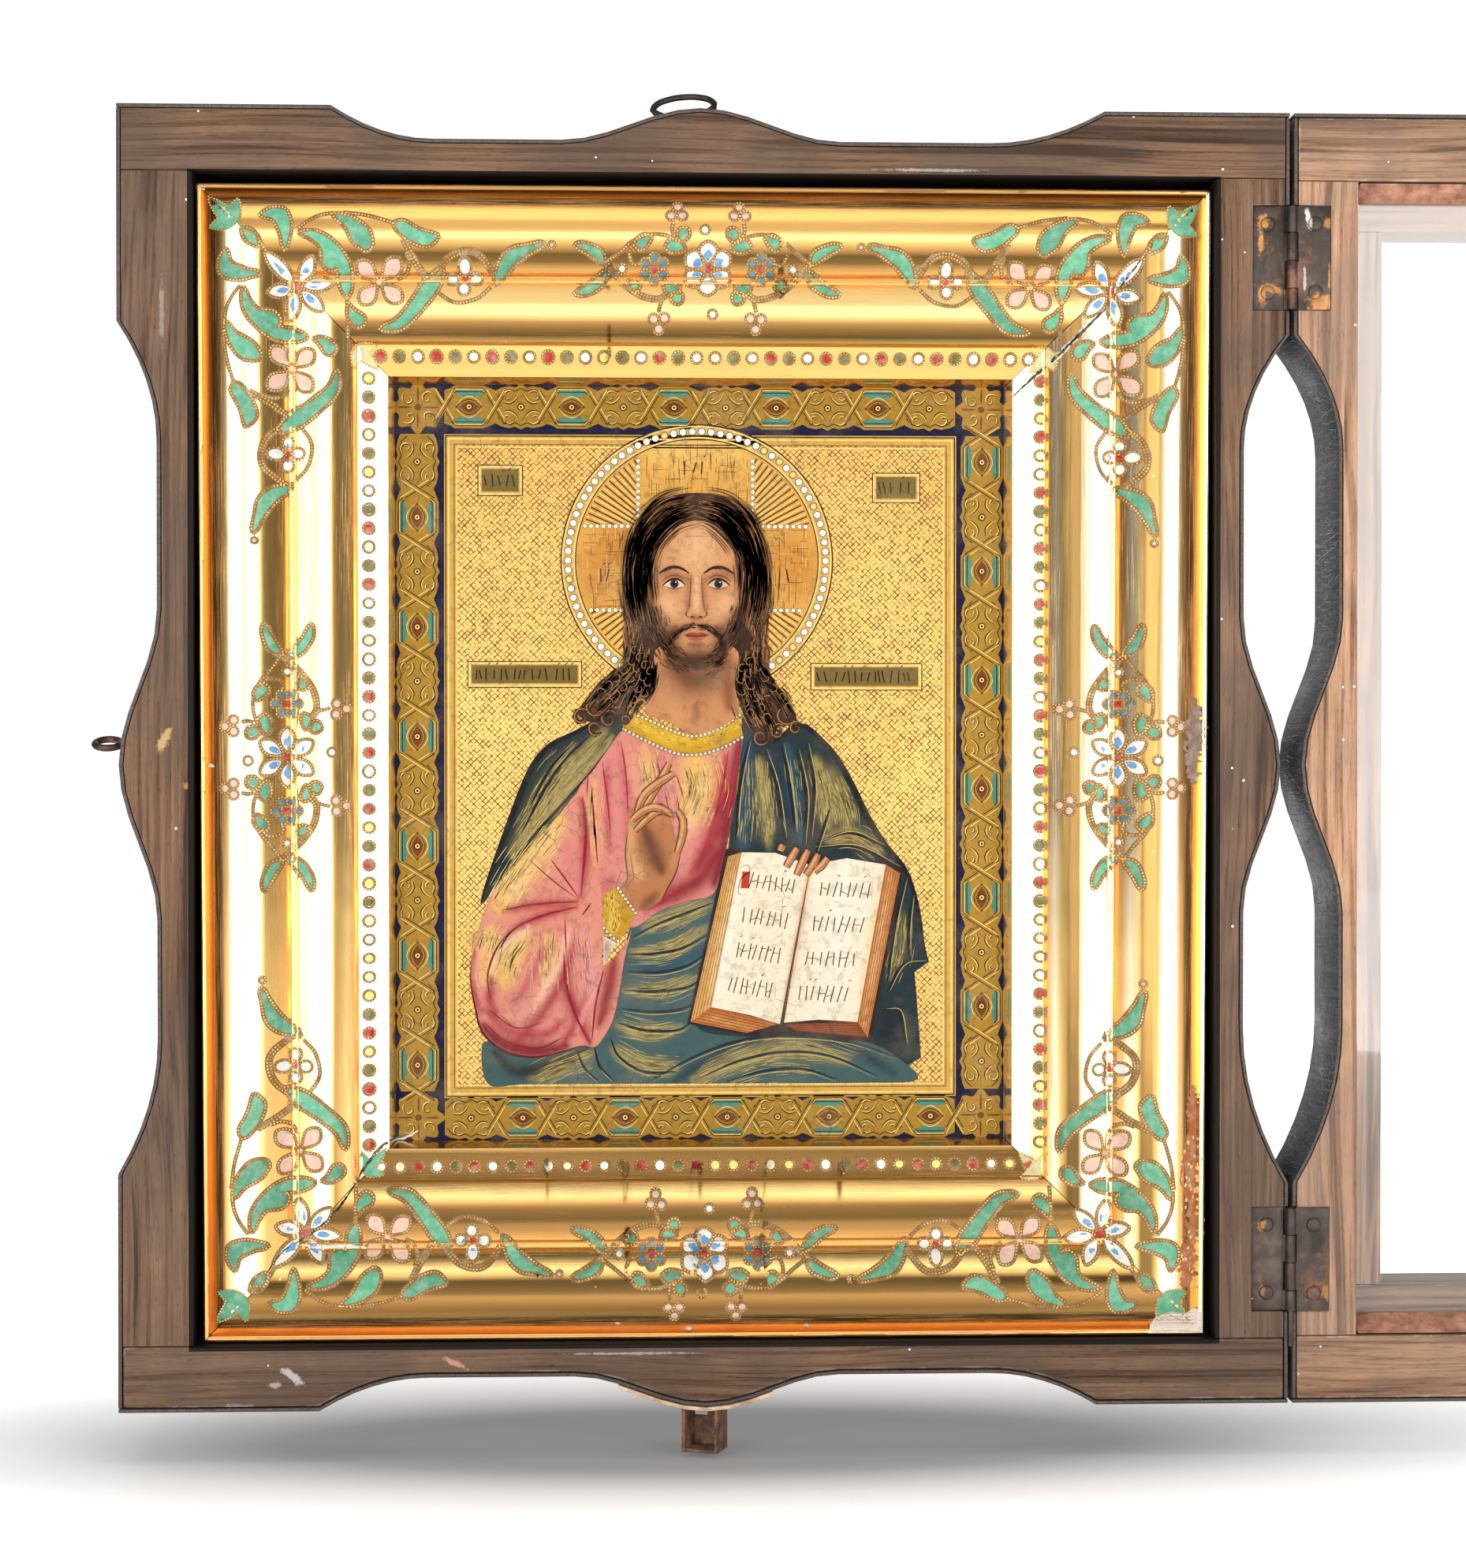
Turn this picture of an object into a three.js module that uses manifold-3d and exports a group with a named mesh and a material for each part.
// A painted icon in a wide gilded moulding, kept in a wooden case whose edges are sawn in lobes and swells.
// A glazed door hangs on two small iron hinges and stands open flat, beside the case.
// Millimetres: X to the right, Z up, and the picture faces -Y.
// The origin is on the rear face of the back board, at the middle of the case's width and height.
import * as THREE from 'three';
import { mergeVertices } from 'three/addons/utils/BufferGeometryUtils.js';
import Module from 'manifold-3d';

const wasm = await Module();
wasm.setup();

// Air between two pieces that touch
const gap = 0.3;

// Painted board
const panelWidth = 174;
const panelHeight = 214;
const panelThickness = 19;

// Gilded moulding: the widths of its members, from its outer edge to the opening that shows the picture
const lipWidth = 1.7;
const outerBandWidth = 22.3;
const filletWidth = 2.4;
const innerBandWidth = 15.6;
const slopeWidth = 8.6;
const sightWallWidth = 1.4;
const mouldingSideWidth = 53.2;
const mouldingEndWidth = 51.8;
// How far each member lies behind the case's front face
const lipDepth = 4.4;
const outerBandDepth = 6.4;
const outerBandRise = 6;
const filletDepth = 7.9;
const innerBandDepth = 9;
const innerBandRise = 2.6;
const slopeDepth = 13.6;
const sightWallDepth = 17;
const sightEdgeDepth = 25;
// How far the moulding covers the board's edge, and how the opening and the lower corners stray
const sightCover = 2.8;
const sightShift = -1;
const mouldingTaper = 1.7;

// Case
const mouldingSideClearance = 0.6;
const mouldingTopClearance = 2.6;
const mouldingBottomClearance = 0.5;
const caseStileWidth = 20;
const caseRailHeight = 17.6;
const backBoardThickness = 7;
const skinThickness = 1;

// Door
const doorThickness = 30;
const doorStileWidth = 17.5;
const doorRailHeight = 18.2;
const doorStileLip = 8.8;
const doorRailLip = 12.4;
const glassThickness = 2.2;
const glassDepth = 7;
const puttyWidth = 4.7;

// Hinges
const caseToDoorGap = 1.2;
const closedGap = 0.8;
const hingeSetback = 39.2;
const leafHeight = 28;
const leafReach = 10.4;
const leafThickness = 0.9;
const caseLeafDepth = 1.3;
const doorLeafProud = 0.4;
const knuckleRadius = 1.4;
const knuckleBore = 1;
const pinRadius = 0.7;
const pinTail = 9.6;
const nailOffset = 6.3;
const nailInset = 4.7;
const nailHeadRadius = 2;
const nailHeadHeight = 0.5;
const nailShankRadius = 0.85;
const nailLength = 11;
const nailHoleRoom = 3;
const nailCrownShare = 0.7;
const nailBrimShare = 0.4;
const tongueInset = 0.2;

// Hanging loop of bent wire, side eye, and the sheet socket under the case
const loopWireRadius = 0.9;
const loopHalfWidth = 8.6;
const loopHeight = 11.3;
const loopShank = 9;
const loopBendHeight = 1;
const loopTilt = 38;
const loopRoll = 5;
const loopOffset = -5.5;
const loopInset = 26;
const eyeRadius = 3.5;
const eyeWireRadius = 1;
const eyeShank = 9;
const eyeHeight = 4.2;
const eyeInset = 9;
const eyeTilt = 20;
const stripThickness = 1;
const stripDepth = 38;
const stripStart = -24.5;
const stripEnd = 21;
const socketWidth = 10.2;
const socketLength = 9.4;
const socketHeight = 12.6;
const socketWall = 0.9;
const socketTurn = -20;
const socketOffset = -2;
const socketInset = 8;
const socketNotchWidth = 3.8;
const socketNotchHeight = 4;
// How far a cutter runs past the face that it opens
const cutterReach = 1;

// Sizes that follow from these
const sightWidth = panelWidth - 2 * sightCover;
const sightHeight = panelHeight - 2 * sightCover;
const mouldingWidth = sightWidth + 2 * mouldingSideWidth;
const mouldingHeight = sightHeight + 2 * mouldingEndWidth;
const openingWidth = mouldingWidth + 2 * mouldingSideClearance;
const openingHeight = mouldingHeight + mouldingTopClearance + mouldingBottomClearance;
const caseWidth = openingWidth + 2 * caseStileWidth;
const caseHeight = openingHeight + 2 * caseRailHeight;
const panelDepth = sightEdgeDepth + gap;
const caseDepth = panelDepth + panelThickness + gap + backBoardThickness;
const right = caseWidth / 2;
const top = caseHeight / 2;
const front = -caseDepth;
const axisX = right + caseToDoorGap / 2;
const axisY = front - closedGap / 2;
const hingeZ = top - hingeSetback;
const mouldingTop = openingHeight / 2 - mouldingTopClearance;
const mouldingBottom = mouldingTop - mouldingHeight;
const sightTop = mouldingTop - mouldingEndWidth;
const sightBottom = mouldingBottom + mouldingEndWidth;
const woodCut = skinThickness + gap;

// The four sawn edges. Each runs from a corner to the next: a straight lobe, a hollow fall, a valley, a rounded
// swell, and the same back again. The swell and valleys share what the lobes and falls leave.
const edges = {
  top: { lobeA: 57, fallA: 27, valleyA: 0.23, valleyB: 0.27, fallB: 31, lobeB: 50.5, cut: 8.8, swellCut: 0 },
  bottom: { lobeA: 53.5, fallA: 29, valleyA: 0.26, valleyB: 0.27, fallB: 29, lobeB: 52.5, cut: 8.8, swellCut: 0.4 },
  left: { lobeA: 58, fallA: 32, valleyA: 0.28, valleyB: 0.2, fallB: 36, lobeB: 64, cut: 10.6, swellCut: 0.4 },
  right: { lobeA: 60, fallA: 31, valleyA: 0.29, valleyB: 0.2, fallB: 42, lobeB: 60, cut: 12.4, swellCut: 2.2 },
};
const fallSteps = 6;
const swellSteps = 12;

const pine = new THREE.MeshStandardMaterial({ name: 'pine', color: 0x6f5644, roughness: 0.72 });
const skin = new THREE.MeshStandardMaterial({ name: 'skin', color: 0x26272b, roughness: 0.6 });
const sheet = new THREE.MeshStandardMaterial({ name: 'strip_metal', color: 0x2b2622, roughness: 0.6 });
const gilding = new THREE.MeshStandardMaterial({ name: 'gilding', color: 0xd9a441, roughness: 0.28, metalness: 0.9 });
const painting = new THREE.MeshStandardMaterial({ name: 'painting', color: 0x9a6a2c, roughness: 0.45 });
const iron = new THREE.MeshStandardMaterial({ name: 'iron', color: 0x3c3734, roughness: 0.55, metalness: 0.8 });
const glass = new THREE.MeshStandardMaterial({ name: 'glass', color: 0xdfe8e4, roughness: 0.05, transparent: true });
glass.opacity = 0.25;
const putty = new THREE.MeshStandardMaterial({ name: 'putty', color: 0x8a5034, roughness: 0.85 });
const rawBoard = new THREE.MeshStandardMaterial({ name: 'raw_board', color: 0x7c6047, roughness: 0.85 });

const icon = new THREE.Group();
const caseBody = new THREE.Group();
const doorBody = new THREE.Group();
icon.add(caseBody, doorBody);

function add(group, name, geometry, material, position = [0, 0, 0], rotation = [0, 0, 0]) {
  const mesh = new THREE.Mesh(geometry, material);
  mesh.name = name;
  mesh.position.set(...position);
  mesh.rotation.set(...rotation);
  group.add(mesh);
}

// Solids for cutting and joining
function solidOf(geometry) {
  const bare = geometry.clone();
  bare.deleteAttribute('normal');
  bare.deleteAttribute('uv');
  const merged = mergeVertices(bare, 1e-4);
  return new wasm.Manifold(new wasm.Mesh({
    numProp: 3,
    vertProperties: new Float32Array(merged.attributes.position.array),
    triVerts: new Uint32Array(merged.index.array),
  }));
}

function geometryOf(solid) {
  const mesh = solid.getMesh();
  const geometry = new THREE.BufferGeometry();
  geometry.setAttribute('position', new THREE.BufferAttribute(new Float32Array(mesh.vertProperties), 3));
  geometry.setIndex(new THREE.BufferAttribute(new Uint32Array(mesh.triVerts), 1));
  geometry.computeVertexNormals();
  return geometry;
}

function cut(geometry, cutters) {
  let solid = solidOf(geometry);
  for (const cutter of cutters) solid = solid.subtract(solidOf(cutter));
  return geometryOf(solid);
}

function join(geometries) {
  let solid = solidOf(geometries[0]);
  for (const geometry of geometries.slice(1)) solid = solid.add(solidOf(geometry));
  return geometryOf(solid);
}

// A box between two corners
function block(x0, x1, y0, y1, z0, z1) {
  const geometry = new THREE.BoxGeometry(x1 - x0, y1 - y0, z1 - z0);
  return geometry.translate((x0 + x1) / 2, (y0 + y1) / 2, (z0 + z1) / 2);
}

// An upright rod between two heights
function rod(radius, z0, z1, sides = 10) {
  const geometry = new THREE.CylinderGeometry(radius, radius, z1 - z0, sides);
  return geometry.rotateX(Math.PI / 2).translate(0, 0, (z0 + z1) / 2);
}

// A flat outline in X and Z, as thick as the distance between two depths behind the front face
function slab(points, depthFrom, depthTo) {
  const shape = new THREE.Shape(points.map(([x, z]) => new THREE.Vector2(x, z)));
  const geometry = new THREE.ExtrudeGeometry(shape, { depth: depthTo - depthFrom, bevelEnabled: false });
  return geometry.rotateX(Math.PI / 2).translate(0, front + depthTo, 0);
}

// A sawn edge as [distance along it, depth of the cut]. Both ends are trimmed, and the whole edge may lie deeper.
function sawnEdge(length, edge, trim, deeper) {
  const middle = length - edge.lobeA - edge.fallA - edge.fallB - edge.lobeB;
  const swellFrom = edge.lobeA + edge.fallA + middle * edge.valleyA;
  const swellTo = length - edge.lobeB - edge.fallB - middle * edge.valleyB;
  const swellRise = edge.cut - edge.swellCut;
  const points = [[trim, deeper], [edge.lobeA, deeper]];
  for (let i = 1; i <= fallSteps; i += 1) {
    const t = i / fallSteps;
    points.push([edge.lobeA + edge.fallA * t, deeper + edge.cut * (1 - (1 - t) ** 2)]);
  }
  for (let i = 0; i <= swellSteps; i += 1) {
    const t = i / swellSteps;
    const rise = (1 - Math.cos(2 * Math.PI * t)) / 2;
    points.push([swellFrom + (swellTo - swellFrom) * t, deeper + edge.cut - swellRise * rise]);
  }
  for (let i = 0; i <= fallSteps; i += 1) {
    const t = i / fallSteps;
    points.push([length - edge.lobeB - edge.fallB * (1 - t), deeper + edge.cut * (1 - t ** 2)]);
  }
  points.push([length - trim, deeper]);
  return points;
}

// The same edge as points of the case's outline
const onSide = {
  top: ([along, deep]) => [along - right, top - deep],
  bottom: ([along, deep]) => [along - right, deep - top],
  left: ([along, deep]) => [deep - right, top - along],
  right: ([along, deep]) => [right - deep, top - along],
};

function outline(side, trim, deeper) {
  const length = side === 'top' || side === 'bottom' ? caseWidth : caseHeight;
  return sawnEdge(length, edges[side], trim, deeper).map(onSide[side]);
}

// The door is sawn to the same outline, turned over about the hinge line
const mirrored = (points) => points.map(([x, z]) => [2 * axisX - x, z]);

// A board: the sawn edge outside, and a straight edge inside
function boardOutline(side, trim, innerEdge) {
  const outer = outline(side, trim, woodCut);
  const first = outer[0];
  const last = outer[outer.length - 1];
  if (side === 'top' || side === 'bottom') return [...outer, [last[0], innerEdge], [first[0], innerEdge]];
  return [...outer, [innerEdge, last[1]], [innerEdge, first[1]]];
}

function skinOutline(side) {
  const trim = side === 'top' || side === 'bottom' ? 0 : woodCut;
  return [...outline(side, trim, 0), ...outline(side, trim, skinThickness).reverse()];
}

// Where the hinges, their nails, the loop and the eye enter the wood
const hingeHeights = [hingeZ, -hingeZ];
const nailHeights = [nailInset - leafHeight / 2, leafHeight / 2 - nailInset];

// A leaf lies in a mortise, and beside the hinge line a deeper pocket clears the other leaf's knuckles
function leafMortises(sign, floorDepth) {
  const reach = axisX + sign * (leafReach + gap);
  const knuckleRoom = knuckleRadius + 2 * gap;
  const pocketDepth = knuckleRoom - closedGap / 2;
  const recess = (x0, x1, depth, z) => block(
    Math.min(x0, x1),
    Math.max(x0, x1),
    front - closedGap,
    front + depth,
    z - leafHeight / 2 - gap,
    z + leafHeight / 2 + gap,
  );
  return hingeHeights.flatMap((z) => [
    recess(axisX, reach, floorDepth, z),
    recess(axisX - knuckleRoom, axisX + knuckleRoom, Math.max(floorDepth, pocketDepth), z),
  ]);
}

function nailHoles(sign) {
  const holes = [];
  const length = nailLength + nailHoleRoom;
  const radius = nailShankRadius + gap;
  for (const z of hingeHeights) {
    for (const dz of nailHeights) {
      const hole = new THREE.CylinderGeometry(radius, radius, length, 8);
      holes.push(hole.translate(axisX + sign * nailOffset, front + length / 2, z + dz));
    }
  }
  return holes;
}

// Case: four boards on edge, full-width rails with the side boards between them
const railInner = openingHeight / 2;
const stileInner = openingWidth / 2;
const loopY = front + loopInset;
const loopHole = block(
  loopOffset - 2 * loopWireRadius - 2 * gap,
  loopOffset + 2 * loopWireRadius + 2 * gap,
  loopY - loopWireRadius - gap,
  loopY + loopWireRadius + gap,
  top - loopShank - gap,
  top + gap,
);
const eyeY = front + eyeInset;
const eyeHoleLength = eyeShank + gap;
const leftSwell = right - edges.left.swellCut;
const eyeHole = block(
  -leftSwell - gap,
  -leftSwell + eyeHoleLength,
  eyeY - eyeWireRadius - gap,
  eyeY + eyeWireRadius + gap,
  eyeHeight - eyeWireRadius - gap,
  eyeHeight + eyeWireRadius + gap,
);
const caseMortises = leafMortises(-1, caseLeafDepth + leafThickness + gap);
const caseCuts = {
  top: [loopHole],
  bottom: [],
  left: [eyeHole],
  right: [...caseMortises, ...nailHoles(-1)],
};
const caseInner = { top: railInner, bottom: -railInner, left: -stileInner, right: stileInner };
for (const side of ['top', 'bottom', 'left', 'right']) {
  const trim = side === 'top' || side === 'bottom' ? woodCut : caseRailHeight + gap;
  const board = slab(boardOutline(side, trim, caseInner[side]), 0, caseDepth);
  add(caseBody, `case_${side}_board`, cut(board, caseCuts[side]), pine);
  const strip = slab(skinOutline(side), 0, caseDepth);
  add(caseBody, `case_${side}_skin`, cut(strip, caseCuts[side]), skin);
}
add(caseBody, 'back_board', block(
  gap - stileInner,
  stileInner - gap,
  -backBoardThickness,
  0,
  gap - railInner,
  railInner - gap,
), rawBoard);

// Moulding profile, as [distance in from the outer edge, depth behind the case's front face]
function bandArc(from, width, startDepth, endDepth, rise, steps) {
  const points = [];
  for (let i = 0; i <= steps; i += 1) {
    const t = i / steps;
    points.push([from + width * t, startDepth + (endDepth - startDepth) * t - rise * Math.sin(Math.PI * t)]);
  }
  return points;
}

const filletFrom = lipWidth + outerBandWidth;
const innerBandFrom = filletFrom + filletWidth;
const slopeFrom = innerBandFrom + innerBandWidth;
const sightWallFrom = slopeFrom + slopeWidth;
const profileWidth = sightWallFrom + sightWallWidth;
const quirk = 0.5;
const mouldingBackDepth = caseDepth - backBoardThickness - gap;
const profile = [
  [0, lipDepth + quirk],
  [quirk, lipDepth],
  [lipWidth - quirk, lipDepth],
  ...bandArc(lipWidth, outerBandWidth, outerBandDepth, filletDepth + 1, outerBandRise, 8),
  [filletFrom + quirk, filletDepth],
  [innerBandFrom - quirk, filletDepth],
  ...bandArc(innerBandFrom, innerBandWidth, innerBandDepth, slopeDepth + 1, innerBandRise, 6),
  [slopeFrom + quirk, slopeDepth],
  [sightWallFrom, sightWallDepth],
  [profileWidth, sightEdgeDepth],
];

// One mitred limb: the profile at both mitres, joined. A corner is [outer X, outer Z, inner X, inner Z].
const rebateWidth = (sightCover + gap) / mouldingSideWidth;
function limb(cornerA, cornerB) {
  const section = profile.map(([u, depth]) => [u / profileWidth, depth]);
  section.push([1 - rebateWidth, sightEdgeDepth]);
  section.push([1 - rebateWidth, mouldingBackDepth]);
  section.push([0, mouldingBackDepth]);
  const ends = [cornerA, cornerB].map(([x0, z0, x1, z1]) => section.map(
    ([share, depth]) => [x0 + (x1 - x0) * share, front + depth, z0 + (z1 - z0) * share],
  ));
  const count = section.length;
  const positions = [...ends[0], ...ends[1]].flat();
  const indices = [];
  for (let i = 0; i < count; i += 1) {
    const j = (i + 1) % count;
    indices.push(i, count + j, j, i, count + i, count + j);
  }
  const caps = THREE.ShapeUtils.triangulateShape(section.map(([a, b]) => new THREE.Vector2(a * profileWidth, b)), []);
  for (const [a, b, c] of caps) indices.push(a, b, c, count + c, count + b, count + a);
  const geometry = new THREE.BufferGeometry();
  geometry.setAttribute('position', new THREE.Float32BufferAttribute(positions, 3));
  geometry.setIndex(indices);
  geometry.computeVertexNormals();
  return geometry;
}

// Each mitre is cut back by half the gap, along the limb
const halfTop = mouldingWidth / 2;
const halfBottom = halfTop - mouldingTaper;
const halfSight = sightWidth / 2;
const mitres = {
  topLeft: [-halfTop, mouldingTop, sightShift - halfSight, sightTop],
  topRight: [halfTop, mouldingTop, sightShift + halfSight, sightTop],
  bottomRight: [halfBottom, mouldingBottom, sightShift + halfSight, sightBottom],
  bottomLeft: [-halfBottom, mouldingBottom, sightShift - halfSight, sightBottom],
};
const shifted = ([x0, z0, x1, z1], dx, dz) => [x0 + dx, z0 + dz, x1 + dx, z1 + dz];
const limbs = {
  top: [shifted(mitres.topRight, -gap, 0), shifted(mitres.topLeft, gap, 0)],
  right: [shifted(mitres.bottomRight, 0, 0), shifted(mitres.topRight, 0, -gap / 4)],
  bottom: [shifted(mitres.bottomLeft, gap, 0), shifted(mitres.bottomRight, -gap, 0)],
  left: [shifted(mitres.topLeft, 0, -gap / 4), shifted(mitres.bottomLeft, 0, 0)],
};
for (const [side, [from, to]] of Object.entries(limbs)) {
  add(caseBody, `moulding_${side}`, limb(from, to), gilding);
}

add(caseBody, 'icon_panel', block(
  sightShift - panelWidth / 2,
  sightShift + panelWidth / 2,
  front + panelDepth,
  front + panelDepth + panelThickness,
  sightBottom - sightCover,
  sightTop + sightCover,
), painting);

// A round wire bent along a path
function wire(points, radius, steps) {
  const ring = new THREE.Shape().absarc(0, 0, radius, 0, 2 * Math.PI, false);
  const path = new THREE.CatmullRomCurve3(points, false, 'centripetal');
  return new THREE.ExtrudeGeometry(ring, { extrudePath: path, steps, curveSegments: 4, bevelEnabled: false });
}

// The loop's two shanks go side by side into the wood. Above them the wire opens into a heart, leaning back.
const loopHalf = [
  [loopWireRadius + gap, -loopShank],
  [loopWireRadius + gap, loopBendHeight / 2],
  [0.3 * loopHalfWidth, 0.2 * loopHeight],
  [0.73 * loopHalfWidth, 0.39 * loopHeight],
  [loopHalfWidth, 0.6 * loopHeight],
  [0.84 * loopHalfWidth, 0.83 * loopHeight],
  [0.4 * loopHalfWidth, 0.97 * loopHeight],
];
const loopLine = [
  ...loopHalf.map(([side, up]) => [-side, up]),
  [0, loopHeight],
  ...loopHalf.map(([side, up]) => [side, up]).reverse(),
];
const tilt = THREE.MathUtils.degToRad(loopTilt);
const roll = THREE.MathUtils.degToRad(loopRoll);
const loopPath = loopLine.map(([side, up]) => {
  const free = Math.max(0, up - loopBendHeight);
  const held = up - free;
  const lift = free * Math.cos(tilt) + (free > 0 ? side * Math.sin(roll) : 0);
  return new THREE.Vector3(side, free * Math.sin(tilt), held + lift);
});
add(caseBody, 'hanging_loop', wire(loopPath, loopWireRadius, 44), iron, [loopOffset, loopY, top]);

// Eye for a hook, turned a little about its shank
const eyeRing = new THREE.TorusGeometry(eyeRadius, eyeWireRadius, 8, 20);
eyeRing.rotateX(THREE.MathUtils.degToRad(eyeTilt));
const eyeStem = rod(eyeWireRadius, 0, eyeShank + gap, 8).rotateY(Math.PI / 2).translate(eyeRadius, 0, 0);
add(caseBody, 'side_eye', join([eyeRing, eyeStem]), iron, [-leftSwell - eyeRadius - eyeWireRadius / 2, eyeY, eyeHeight]);

// Metal strip bent round the bottom swell, and the sheet socket that hangs from it
const bottomLine = outline('bottom', 0, 0).filter(([x]) => x > stripStart && x < stripEnd);
const stripDrop = gap + stripThickness;
const stripPoints = [
  ...bottomLine.map(([x, z]) => [x, z - gap]),
  ...bottomLine.map(([x, z]) => [x, z - stripDrop]).reverse(),
];
add(caseBody, 'bottom_strip', slab(stripPoints, 0, stripDepth), sheet);
const socketTop = edges.bottom.swellCut - top - stripDrop - gap;
const halfSocket = socketWidth / 2;
const socketBody = block(-halfSocket, halfSocket, 0, socketLength, -socketHeight, 0);
const socketRoom = block(
  socketWall - halfSocket,
  halfSocket - socketWall,
  -cutterReach,
  socketLength - socketWall,
  socketWall - socketHeight,
  cutterReach,
);
const socketNotch = block(
  socketWall - halfSocket,
  socketWall - halfSocket + socketNotchWidth,
  socketLength - 2 * socketWall,
  socketLength + cutterReach,
  -socketNotchHeight,
  cutterReach,
);
const socketAngle = THREE.MathUtils.degToRad(socketTurn);
add(caseBody, 'bottom_socket', cut(socketBody, [socketRoom, socketNotch]), iron,
  [socketOffset, front + socketInset, socketTop], [0, 0, socketAngle]);

// Door: four rebated members. The near layer holds the glass, and the far layer is the lip that it lies on.
const ledgeDepth = glassDepth + glassThickness + gap;
const doorMembers = {
  top: [top - doorRailHeight, top - doorRailHeight - doorRailLip],
  bottom: [doorRailHeight - top, doorRailHeight + doorRailLip - top],
  left: [doorStileWidth - right, doorStileWidth + doorStileLip - right],
  right: [right - doorStileWidth, right - doorStileWidth - doorStileLip],
};
const doorNames = { top: 'top_rail', bottom: 'bottom_rail', left: 'free_stile', right: 'hinge_stile' };
const doorMortises = leafMortises(1, leafThickness - doorLeafProud + gap);
for (const side of ['top', 'bottom', 'left', 'right']) {
  const [rebateEdge, lipEdge] = doorMembers[side];
  const isRail = side === 'top' || side === 'bottom';
  const nearTrim = isRail ? woodCut : doorRailHeight + gap;
  const farTrim = isRail ? woodCut : doorRailHeight + doorRailLip + gap;
  const near = slab(mirrored(boardOutline(side, nearTrim, rebateEdge)), 0, ledgeDepth);
  const far = slab(mirrored(boardOutline(side, farTrim, lipEdge)), ledgeDepth, doorThickness);
  const cutters = [...doorMortises, ...nailHoles(1)];
  add(doorBody, `door_${doorNames[side]}`, cut(join([near, far]), cutters), pine);
  const strip = slab(mirrored(skinOutline(side)), 0, doorThickness);
  add(doorBody, `door_${doorNames[side]}_skin`, cut(strip, cutters), skin);
}

const doorCentreX = 2 * axisX;
const glassHalfWidth = right - doorStileWidth - gap;
const glassHalfHeight = top - doorRailHeight - gap;
add(doorBody, 'glass_pane', block(
  doorCentreX - glassHalfWidth,
  doorCentreX + glassHalfWidth,
  front + glassDepth,
  front + glassDepth + glassThickness,
  -glassHalfHeight,
  glassHalfHeight,
), glass);

// Putty, run as a slanting fillet along the glass's upper and lower edges
function puttyFillet(sign) {
  const section = new THREE.Shape([
    new THREE.Vector2(0, 0),
    new THREE.Vector2(glassDepth - 2 * gap, 0),
    new THREE.Vector2(glassDepth - 2 * gap, -sign * puttyWidth),
  ]);
  const length = 2 * glassHalfWidth - 2 * gap;
  const fillet = new THREE.ExtrudeGeometry(section, { depth: length, bevelEnabled: false });
  // The section's first axis turns to depth, its second to height, and the run to X
  fillet.applyMatrix4(new THREE.Matrix4().makeBasis(
    new THREE.Vector3(0, 1, 0),
    new THREE.Vector3(0, 0, 1),
    new THREE.Vector3(1, 0, 0),
  ));
  return fillet.translate(doorCentreX - length / 2, front + gap, sign * (glassHalfHeight - gap));
}
add(doorBody, 'putty_top', puttyFillet(1), putty);
add(doorBody, 'putty_bottom', puttyFillet(-1), putty);

// Hinges: the case's leaf lies deep in its mortise, and the door's leaf stands a little proud.
// Four knuckles take turns along the pin, the door's first from the top.
const knuckleShares = [0.26, 0.27, 0.27, 0.2];
function knuckleSpans(first) {
  const spans = [];
  let z = leafHeight / 2;
  knuckleShares.forEach((share, i) => {
    const next = z - share * leafHeight;
    if (i % 2 === first) spans.push([next + gap / 2, z - gap / 2]);
    z = next;
  });
  return spans;
}

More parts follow.
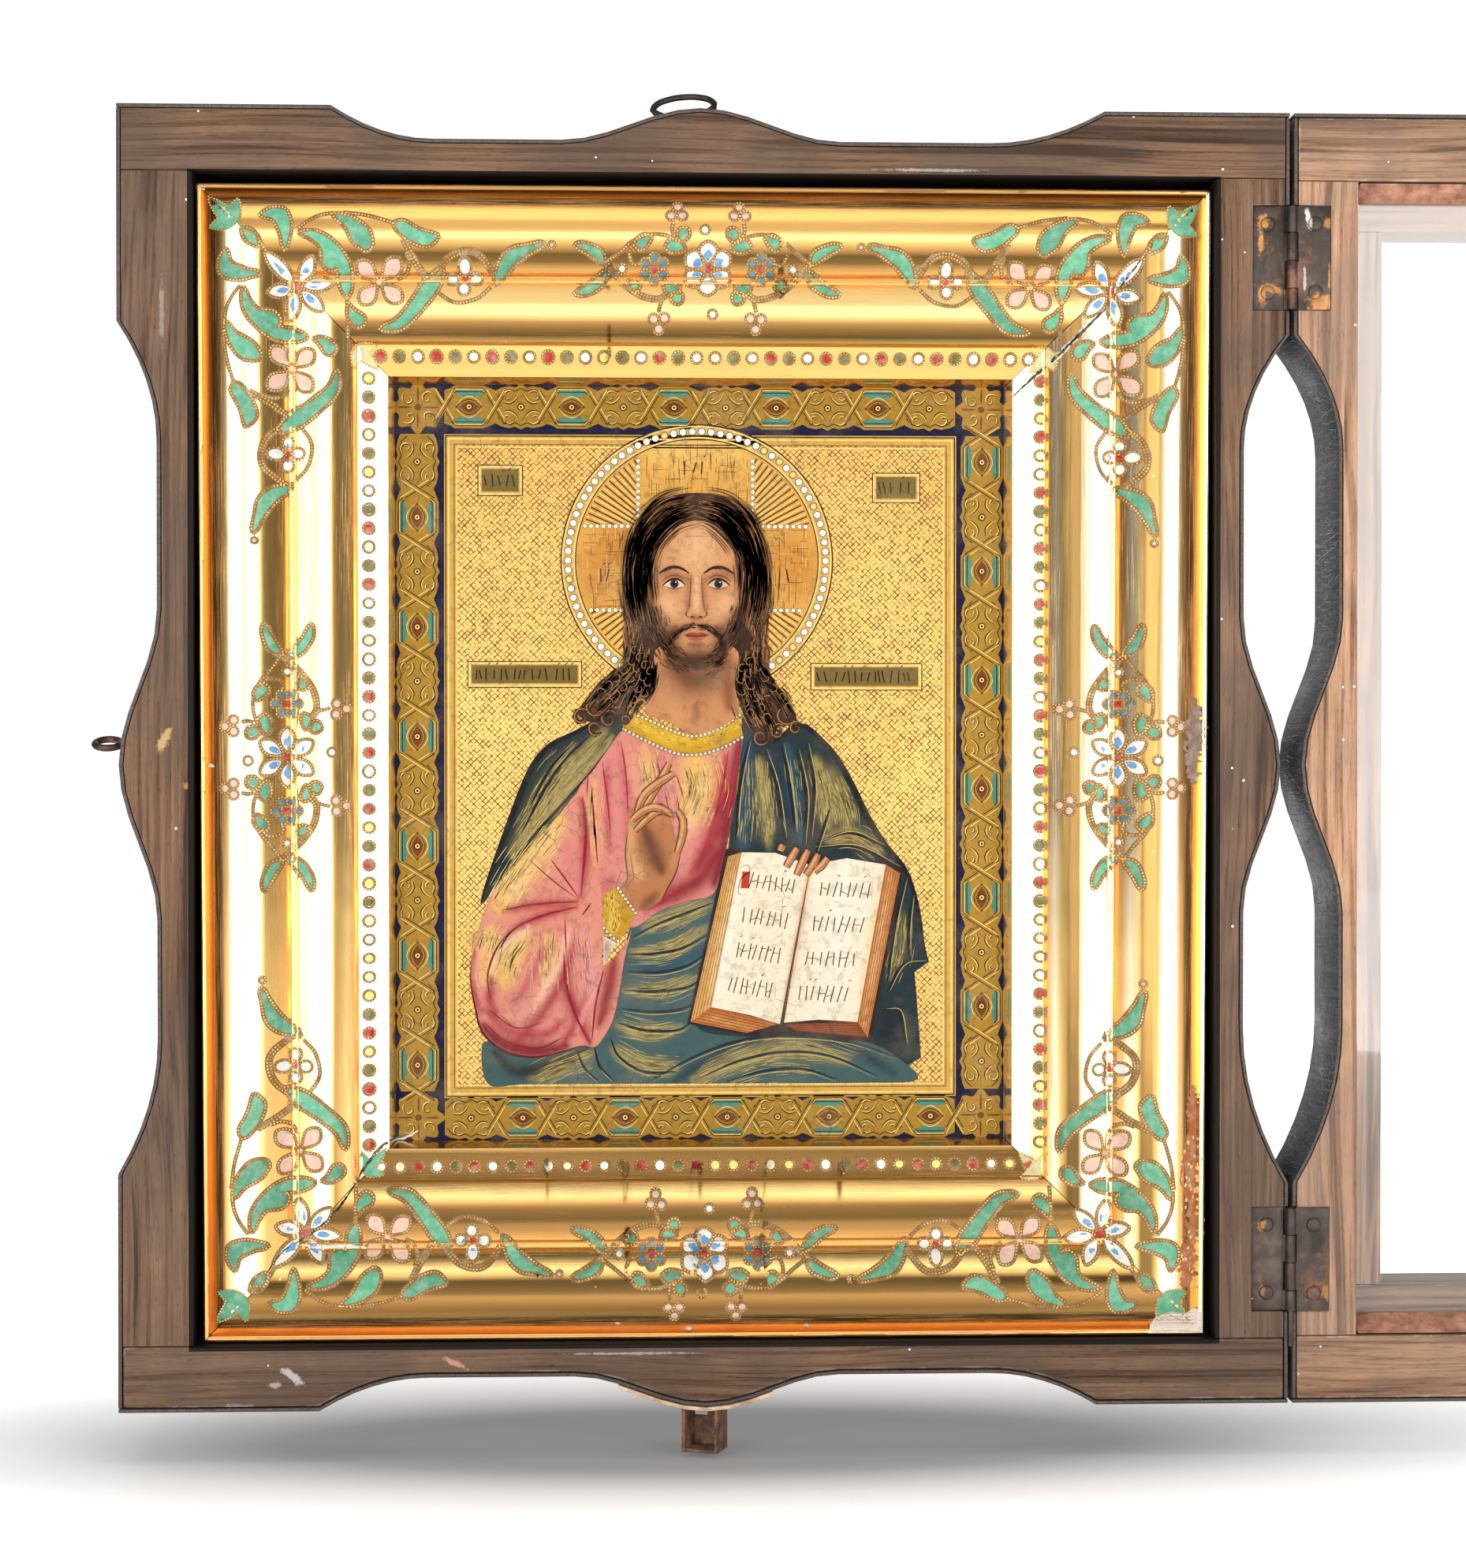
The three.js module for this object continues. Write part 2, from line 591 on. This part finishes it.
// Leaf about the hinge line, at a depth behind it. Its plate runs to the side that the sign gives.
function leaf(sign, plateFrom, first) {
  const plateTo = plateFrom + leafThickness;
  const side = (near, far) => (sign > 0 ? [near, far] : [-far, -near]);
  const pieces = [block(...side(knuckleRadius + gap, leafReach), plateFrom, plateTo, -leafHeight / 2, leafHeight / 2)];
  for (const [z0, z1] of knuckleSpans(first)) {
    const tongueFrom = Math.min(plateFrom, knuckleBore + gap / 2);
    pieces.push(block(...side(tongueInset, knuckleRadius + 2 * gap), tongueFrom, plateTo, z0, z1));
    pieces.push(rod(knuckleRadius, z0, z1));
  }
  const bore = rod(knuckleBore, -leafHeight, leafHeight);
  const holes = nailHeights.map((z) => {
    const radius = nailShankRadius + gap;
    const hole = new THREE.CylinderGeometry(radius, radius, 4 * leafThickness, 8);
    return hole.translate(sign * nailOffset, plateFrom, z);
  });
  return cut(join(pieces), [bore, ...holes]);
}

function nail() {
  const head = [
    new THREE.Vector2(0, 0),
    new THREE.Vector2(nailShankRadius, 0),
    new THREE.Vector2(nailShankRadius, nailLength - nailShankRadius),
    new THREE.Vector2(0, nailLength),
  ];
  const shank = new THREE.LatheGeometry(head, 8);
  const cap = [
    new THREE.Vector2(0, -nailHeadHeight),
    new THREE.Vector2(nailCrownShare * nailHeadRadius, -nailHeadHeight),
    new THREE.Vector2(nailHeadRadius, -nailBrimShare * nailHeadHeight),
    new THREE.Vector2(nailHeadRadius, gap / 10),
    new THREE.Vector2(0, gap / 10),
  ];
  return join([shank, new THREE.LatheGeometry(cap, 12)]);
}

const caseLeafFrom = closedGap / 2 + caseLeafDepth;
const doorLeafFrom = closedGap / 2 - doorLeafProud;
const hingeNames = ['upper', 'lower'];
hingeHeights.forEach((z, i) => {
  const name = `hinge_${hingeNames[i]}`;
  const place = [axisX, axisY, z];
  add(caseBody, `${name}_case_leaf`, leaf(-1, caseLeafFrom, 1), iron, place);
  add(doorBody, `${name}_door_leaf`, leaf(1, doorLeafFrom, 0), iron, place);
  const tail = i === 1 ? pinTail : 0;
  add(caseBody, `${name}_pin`, rod(pinRadius, -leafHeight / 2 - tail, leafHeight / 2, 8), iron, place);
  nailHeights.forEach((dz, j) => {
    const at = j === 0 ? 'low' : 'high';
    const caseHead = axisY + caseLeafFrom - gap;
    const doorHead = axisY + doorLeafFrom - gap;
    add(caseBody, `${name}_case_nail_${at}`, nail(), iron, [axisX - nailOffset, caseHead, z + dz]);
    add(doorBody, `${name}_door_nail_${at}`, nail(), iron, [axisX + nailOffset, doorHead, z + dz]);
  });
});

export default icon;
